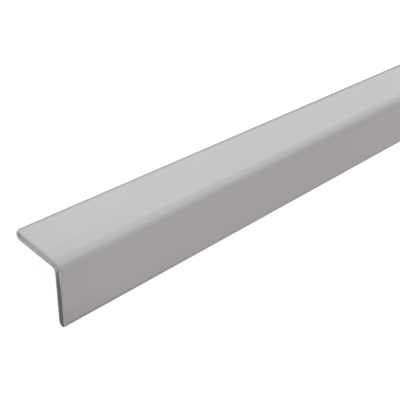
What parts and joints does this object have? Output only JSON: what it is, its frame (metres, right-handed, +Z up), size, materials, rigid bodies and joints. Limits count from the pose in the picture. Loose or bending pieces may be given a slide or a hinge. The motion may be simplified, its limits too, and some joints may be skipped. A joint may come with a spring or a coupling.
{
  "type": "corner guard moulding",
  "caption": "Plain equal-leg angle moulding with a rounded bend and rounded free edges, glued over the outside corner of two walls to protect it.",
  "frame": {"origin": "middle of the length, midway between the legs, on the level that it stands on", "axes": "+X along the moulding, +Y towards the right leg's free edge, +Z up through the bend, with the moulding standing on both free edges"},
  "size_m": [1.2192, 0.026, 0.0132],
  "materials": {
    "rigid_vinyl": "satin, extruded, through-coloured grey"
  },
  "bodies": {
    "root": {"corner_guard": "rigid_vinyl"}
  },
  "joints": []
}
